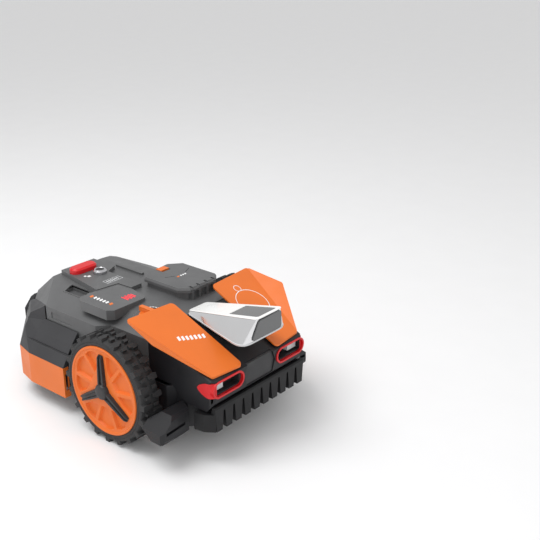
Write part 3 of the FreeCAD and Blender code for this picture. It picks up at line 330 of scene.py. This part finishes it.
def rim(side, name):
    """Wheel rim: lip, barrel, hub boss and a web with three deep pockets between each pair of arms."""
    centre, half = centre_of(name)
    at = wheel_place(side, centre.x + side * half.x, centre)
    face, floor, back = 2.5, 9.6, 10.5          # depths of the web's front, pocket floors and web's back
    barrel, wall, hub, hub_depth, bore_radius = 101.9, 97, 18, 37.5, 6.2
    steps = 96
    mesh = bmesh.new()

    def ring(depth, radius):
        return [mesh.verts.new(at(depth, radius, math.tau * k / steps)) for k in range(steps)]

    width = 2 * centre_of("tyre_" + name.split("_")[1])[1].x / MM + 2.0
    edge = ring(face, 94.5)
    ring_faces(mesh, [edge, ring(0.8, 96.2), ring(0, 97.4), ring(0, 100.6), ring(0.8, 101.6), ring(5, barrel),
                      ring(width, barrel), ring(width, wall), ring(back, wall), ring(back, hub),
                      ring(hub_depth, hub - 2), ring(hub_depth, bore_radius), ring(face, bore_radius)])
    mesh.verts.ensure_lookup_table()
    bore = mesh.verts[-steps:]
    border = []
    for loop in (edge, bore):
        border += [mesh.edges.get((loop[i], loop[(i + 1) % steps])) for i in range(steps)]
    for middle in (30, 150, 270):
        shapes = [[(40, -15), (87, -18.5), (90.5, -9), (91.5, 0), (90.5, 9), (87, 18.5), (40, 15)]]
        for hand in (-1, 1):
            shapes.append([(44, hand * 27), (88, hand * 23.5), (90.5, hand * 33), (90, hand * 44),
                           (86, hand * 50.5), (58, hand * 46)])
        for shape in shapes:
            cx = sum(r * math.cos(math.radians(a)) for r, a in shape) / len(shape)
            cy = sum(r * math.sin(math.radians(a)) for r, a in shape) / len(shape)
            top, low = [], []
            for r, a in shape:
                px, py = r * math.cos(math.radians(a)), r * math.sin(math.radians(a))
                for ring_out, grow, depth in ((top, 1.0, face), (low, 0.84, floor)):
                    qx, qy = cx + (px - cx) * grow, cy + (py - cy) * grow
                    turn = math.radians(middle)
                    ux = qx * math.cos(turn) - qy * math.sin(turn)
                    uy = qx * math.sin(turn) + qy * math.cos(turn)
                    ring_out.append(mesh.verts.new(at(depth, math.hypot(ux, uy), math.atan2(uy, ux))))
            ring_faces(mesh, [top, low])
            mesh.faces.new(low)
            border += [mesh.edges.get((top[i], top[(i + 1) % len(top)])) for i in range(len(top))]
    bmesh.ops.triangle_fill(mesh, edges=border, use_beauty=True)
    place(f"dish_{name}", mesh, RIM, name.replace("rim", "wheel"), [name], bevel=0.6,
          smooth=30)


def wheels():
    for side, hand in ((-1, "right"), (1, "left")):
        tyre(side, "tyre_" + hand)
        rim(side, "rim_" + hand)
        spoke_cap(side, "spoke_cap_" + hand)


# ---------------------------------------------------------------- vision head

def head_ring(mesh, front, rear, radius, corner_steps=8):
    """Level ring of the wedge-shaped head; front and rear are (half width, y, z), front corners rounded."""
    def height(y):
        share = (y - rear[1]) / (front[1] - rear[1])
        return rear[2] + (front[2] - rear[2]) * share

    run = Vector((front[0] - rear[0], front[1] - rear[1])).normalized()
    corner = Vector((front[0], front[1]))
    before = corner - run * radius
    after = corner + Vector((-radius, 0))
    arc = []
    for k in range(corner_steps + 1):
        t = k / corner_steps
        arc.append(before.lerp(corner, t).lerp(corner.lerp(after, t), t))
    half = [Vector((rear[0] - 5, rear[1])), Vector((rear[0], rear[1] - 4))] + arc
    points = half + [Vector((-p.x, p.y)) for p in reversed(half)]
    return [mesh.verts.new((p.x * MM, p.y * MM, height(p.y) * MM)) for p in points]


def vision_head():
    """Chrome-sided head with a white top frame, two dark windows, pale sill and the neck under it."""
    mesh = bmesh.new()
    sill = [head_ring(mesh, (70, -331, 246.5), (29, -141, 251.5), 31),
            head_ring(mesh, (77.5, -336, 246.5), (32, -139.5, 252), 34),
            head_ring(mesh, (78.5, -337.2, 250.5), (32.5, -139.2, 254.5), 35)]
    body = [head_ring(mesh, (76.6, -336.4, 251), (31.5, -139.6, 255), 34),
            head_ring(mesh, (60, -341.9, 279), (30, -139.4, 257.5), 26),
            head_ring(mesh, (42.4, -346.6, 302.6), (29, -139.2, 259.2), 14)]
    ring_faces(mesh, sill + body[:1])
    for face in mesh.faces:
        face.material_index = 1
    count = len(body[0])
    middle = count // 2 - 1
    for low, high in zip(body, body[1:]):
        for i in range(count):
            if i != middle:
                j = (i + 1) % count
                mesh.faces.new((low[i], low[j], high[j], high[i]))
    mesh.faces.new(sill[0]).material_index = 1
    mesh.faces.new(body[-1])
    outer = [ring[middle] for ring in body]
    outer += [ring[middle + 1] for ring in reversed(body)]

    def on_face(x, z):
        """Point on the leaning front face."""
        return Vector((x * MM, (-336.4 - (z - 251) * 10.2 / 51.6) * MM, z * MM))

    pocket = [(30, 258), (30, 274), (28, 290), (-28, 290), (-30, 274), (-30, 258)]
    mouth = [mesh.verts.new(on_face(x, z)) for x, z in pocket]
    ring_faces(mesh, [outer, mouth])
    deep = [mesh.verts.new((v.co.x, -324 * MM, v.co.z)) for v in mouth]
    ring_faces(mesh, [mouth, deep])
    mesh.faces.new(deep)
    neck = [(-22, -196), (22, -196), (22, -160), (-22, -160)]
    prism_between(mesh, *([(x * MM, y * MM, z * MM) for x, y in neck] for z in (230.5, 248)))
    place("head_body", mesh, SILVER, "chassis", ["head_shell"], smooth=35, second=SILL)

    mesh = bmesh.new()
    rings = [head_ring(mesh, (41.8, -346.6, 303.0), (28.6, -139.4, 259.6), 14),
             head_ring(mesh, (42.2, -348.8, 303.4), (29.2, -139.0, 260.0), 14),
             head_ring(mesh, (41.0, -349.8, 305.2), (28.8, -139.0, 261.0), 13),
             head_ring(mesh, (40.0, -348.8, 305.9), (28.0, -139.6, 261.6), 12)]
    ring_faces(mesh, rings)
    mesh.faces.new(rings[0])

    def top_z(y):
        """Height of the sloping top at y."""
        return 305.8 + (y + 347.6) * (261.6 - 305.8) / (-139.6 + 347.6)

    def pane(depth, grow):
        """Window outline, a depth below the top and grown by a margin."""
        near, far = -341 - grow, -258 + grow
        points = [(31 + grow, near + 5), (28 + grow, near), (-28 - grow, near), (-31 - grow, near + 5),
                  (-28.5 - grow, far), (28.5 + grow, far)]
        return [mesh.verts.new((x * MM, y * MM, (top_z(y) - depth) * MM)) for x, y in points]

    opening = pane(0, 0)
    floor = pane(1.6, -0.6)
    top = rings[-1]
    border = [mesh.edges.get((top[i], top[(i + 1) % len(top)])) for i in range(len(top))]
    ring_faces(mesh, [opening, floor])
    mesh.faces.new(floor)
    border += [mesh.edges.get((opening[i], opening[(i + 1) % len(opening)])) for i in range(len(opening))]
    bmesh.ops.triangle_fill(mesh, edges=border, use_beauty=True)
    place("head_trim", mesh, WHITE, "chassis", ["head_frame"], bevel=0.3, smooth=30)

    mesh = bmesh.new()
    low, high = pane(1.5, -0.9), pane(0.7, -0.9)
    ring_faces(mesh, [low, high])
    mesh.faces.new(low)
    mesh.faces.new(high)
    place("head_top_pane", mesh, WINDOW, "chassis", ["head_top_window"], smooth=30)

    mesh = bmesh.new()
    outline = [(42, 253.5), (46, 256), (46.5, 261), (37, 295), (35, 298), (32, 299.5)]
    outline += [(-x, z) for x, z in reversed(outline)]
    slab = [[mesh.verts.new(on_face(x * grow, z) + Vector((0, lift * MM, 0))) for x, z in outline]
            for lift, grow in ((-0.1, 1.0), (-2.4, 1.0), (-3.0, 0.985))]
    ring_faces(mesh, slab)
    mesh.faces.new(slab[0])
    mesh.faces.new(slab[-1])
    place("head_front_pane", mesh, WINDOW, "chassis", ["head_front_window"], smooth=30)


# ---------------------------------------------------------------- raised prints and small trims

def surface_z(node, x, y):
    """Height of a node's upper surface in mm, or None where there is none."""
    above = Vector((x * MM, y * MM, 0.5))
    hit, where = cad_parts[node].ray_cast(above, Vector((0, 0, -1)))[:2]
    return where.z / MM if hit else None


def marks(name, node, outlines, paint, body, lift=0.35):
    """Thin raised print pieces that follow the surface under them; one past its edge is left out."""
    mesh = bmesh.new()
    for outline in outlines:
        heights = [surface_z(node, x, y) for x, y in outline]
        if None in heights:
            continue
        prism_between(mesh, [(x * MM, y * MM, (z - 0.3) * MM) for (x, y), z in zip(outline, heights)],
                      [(x * MM, y * MM, (z + lift) * MM) for (x, y), z in zip(outline, heights)])
    place(name, mesh, paint, body)


def bar(x, y, half_x, half_y, slant=0.0):
    """Outline of a straight or slanted bar round a centre."""
    return [(x - half_x - slant, y - half_y), (x + half_x - slant, y - half_y),
            (x + half_x + slant, y + half_y), (x - half_x + slant, y + half_y)]


def arc_pieces(x, y, radius, width, start, stop, count, gap=0.0):
    """Short pieces of a flat ring, angles in degrees."""
    pieces = []
    step = (stop - start) / count
    for k in range(count):
        first = math.radians(start + k * step)
        last = math.radians(start + (k + 1 - gap) * step)
        pieces.append([(x + r * math.cos(a), y + r * math.sin(a))
                       for r, a in ((radius, first), (radius + width, first), (radius + width, last),
                                    (radius, last))])
    return pieces


def prints():
    """Generic marks where the machine carries labels: bars, rings and blocks, no lettering."""
    marks("tile_mark_white", "display_tile", [bar(-127, y, 4.6, 3.2, 1.6) for y in (54, 44, 34, 24, 14)],
          PRINT, "chassis")
    marks("tile_mark_orange", "display_tile", [bar(-127, y, 4.6, 4.2, 1.6) for y in (66, 1)],
          ORANGE, "chassis")
    marks("display_bars", "display_window", [bar(x, 0, 1.3, 9 if k % 2 else 12) for k, x in
                                             enumerate((-88, -83, -78, -73, -68, -63))],
          DIGIT, "chassis", 0.2)
    marks("console_square", "console", [bar(-56, 160, 4, 4)], PRINT, "chassis")
    frame_bars = [bar(-34, 92, 23, 0.5), bar(-34, 110, 23, 0.5), bar(-57, 101, 0.5, 9), bar(-11, 101, 0.5, 9)]
    frame_bars += [bar(x, 101, 1.2, 5) for x in (-50, -44, -38, -32, -26, -20)]
    marks("console_label", "console", frame_bars, SILL, "chassis", 0.2)
    marks("lid_mark_white", "battery_lid", [bar(x, -28, 2.2, 2.6, 0.8) for x in (62, 69, 76)],
          PRINT, "battery_lid_body")
    marks("lid_mark_orange", "battery_lid", [bar(53, -28, 3.4, 2.6, 0.8)], ORANGE, "battery_lid_body")
    grooves = [[(28, -8), (29, -10), (50, -21), (49, -19)], [(84, -21), (85, -19), (108, -8), (107, -10)]]
    marks("lid_grooves", "battery_lid", grooves, SEAM, "battery_lid_body", 0.15)
    marks("fender_ring", "fender_left", arc_pieces(112, -205, 38, 1.4, 0, 360, 60)
          + arc_pieces(112, -158, 8, 1.2, 0, 360, 24), PRINT, "chassis", 0.3)
    marks("fender_mark", "fender_right", [bar(x, -205 - (x + 130) * 0.35, 3.0, 5.0, 1.2)
                                          for x in (-126, -117, -108, -99, -90, -81, -72)],
          PRINT, "chassis", 0.3)
    marks("dial_ring", "deck_cover", arc_pieces(-96, -92, 38, 2.4, 0, 360, 40, 0.3), PRINT, "chassis",
          0.3)


def light_wraps():
    """Red housings of the headlights, running round the corner on to the sides of the nose."""
    stations = [(138.5, -320.6, 16.5), (144, -318, 16.8), (149.2, -313, 16.8), (151.2, -308, 16.5),
                (151.2, -300, 15), (151.2, -291, 11.5), (151.2, -284, 7), (151.2, -279, 1.5)]
    light_z, thick = 171.5, 2.2
    for side, hand in ((-1, "right"), (1, "left")):
        mesh = bmesh.new()
        rings = []
        for x, y, half in stations:
            rings.append([mesh.verts.new((side * px * MM, y * MM, (light_z + h) * MM))
                          for px, h in ((x, -half), (x, half), (x - thick, half), (x - thick, -half))])
        ring_faces(mesh, rings)
        mesh.faces.new(rings[0])
        mesh.faces.new(rings[-1])
        place("light_wrap_" + hand, mesh, RED, "chassis", bevel=0.6, smooth=40)


# ---------------------------------------------------------------- CAD nodes that keep their shape

FINISH = {
    "deck_cover": (GREY, 2.5), "edge_pod": (POD, 3.0), "left_side_cover": (POD, 3.0),
    "edge_skirt": (ORANGE, 2.0), "console": (GREY, 1.6), "display_tile": (MID_GREY, 3.0),
    "battery_lid": (GREY, 2.2),
    "rear_bumper": (BLACK, 2.5), "nose_shell": (BLACK, 2.0), "nose_panel": (BATTERY, 0.8),
    "comb": (COMB, 1.2),
    "skid_right": (BLACK, 2.5), "skid_left": (BLACK, 2.5), "chassis_tub": (BLACK, 1.5),
    "fender_right": (ORANGE, 1.4), "fender_left": (ORANGE, 1.4),
    "camera_modules": (LENS, 0.4), "light_bezel_right": (RED, 0.8),
    "light_bezel_left": (RED, 0.8), "light_reflector_right": (BATTERY, 0.6),
    "light_reflector_left": (BATTERY, 0.6), "light_emitters": (LAMP, 0.8), "charging_contacts": (STEEL, 0.4),
    "stop_button": (RED, 1.0), "select_ring": (STEEL, 0.6), "select_button": (BATTERY, 0.6),
    "status_led": (PRINT, 0.2), "display_window": (LENS, 0.2), "height_lever": (ORANGE, 0.8),
    "lid_latch": (ORANGE, 0.8), "lid_hinge_pins": (STEEL, 0.2), "battery_pack": (BATTERY, 1.0),
    "controller_board": (BOARD, 0.3), "gearmotor_right": (MOTOR, 1.0), "gearmotor_left": (MOTOR, 1.0),
    "cutting_motor": (MOTOR, 1.0), "height_carriage": (CARRIAGE, 0.8), "guide_posts": (STEEL, 0.3),
    "cutting_disc": (CARRIAGE, 0.4), "blade_screws": (STEEL, 0.3), "housing_screws": (STEEL, 0.4),
    "blade_1": (STEEL, 0.1), "blade_2": (STEEL, 0.1), "blade_3": (STEEL, 0.1), "axle_right": (STEEL, 0.4),
    "axle_left": (STEEL, 0.4), "caster_fork_right": (BLACK, 0.6), "caster_fork_left": (BLACK, 0.6),
    "caster_wheel_right": (SMALL_RUBBER, 0.8), "caster_wheel_left": (SMALL_RUBBER, 0.8),
}


def finish_nodes():
    """Material and rounded edges for each CAD node in FINISH."""
    for name, (paint, width) in FINISH.items():
        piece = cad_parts[name]
        piece.data.materials.clear()
        piece.data.materials.append(paint)
        flat = piece.modifiers.new("flat", "DECIMATE")
        flat.decimate_type = "DISSOLVE"
        flat.angle_limit = math.radians(0.4)
        add_bevel(piece, width)


# ---------------------------------------------------------------- floor, light and camera

def stage():
    """Wide pale floor and even white surroundings."""
    mesh = bmesh.new()
    reach = 30.0
    corners = ((-1, -1), (1, -1), (1, 1), (-1, 1))
    mesh.faces.new([mesh.verts.new((x * reach, y * reach, 0)) for x, y in corners])
    data = bpy.data.meshes.new("floor")
    mesh.to_mesh(data)
    mesh.free()
    floor = bpy.data.objects.new("floor", data)
    bpy.context.scene.collection.objects.link(floor)
    data.materials.append(FLOOR)

    world = bpy.data.worlds.new("studio")
    world.use_nodes = True
    world.node_tree.nodes["Background"].inputs["Color"].default_value = (1, 1, 1, 1)
    world.node_tree.nodes["Background"].inputs["Strength"].default_value = 0.72
    bpy.context.scene.world = world


def softbox(name, position, size, power):
    """Square area light aimed at the origin."""
    data = bpy.data.lights.new(name, "AREA")
    data.shape = "SQUARE"
    data.size = size
    data.energy = power
    lamp = bpy.data.objects.new(name, data)
    lamp.location = position
    lamp.rotation_euler = (-Vector(position)).to_track_quat("-Z", "Y").to_euler()
    bpy.context.scene.collection.objects.link(lamp)


def camera():
    data = bpy.data.cameras.new("camera")
    data.lens = 60
    data.sensor_width = 36
    data.clip_end = 200
    view = bpy.data.objects.new("camera", data)
    view.location = (-1.3022, -1.4211, 1.0738)
    view.rotation_euler = (math.radians(68.23), 0, math.radians(-50.49))
    bpy.context.scene.collection.objects.link(view)
    bpy.context.scene.camera = view


stage()
softbox("key", (-0.9, 0.5, 2.6), 1.6, 42)
softbox("fill", (-1.8, -2.4, 1.6), 1.5, 12)
camera()
wheels()
vision_head()
prints()
light_wraps()
finish_nodes()
bpy.context.scene.view_settings.view_transform = "Standard"
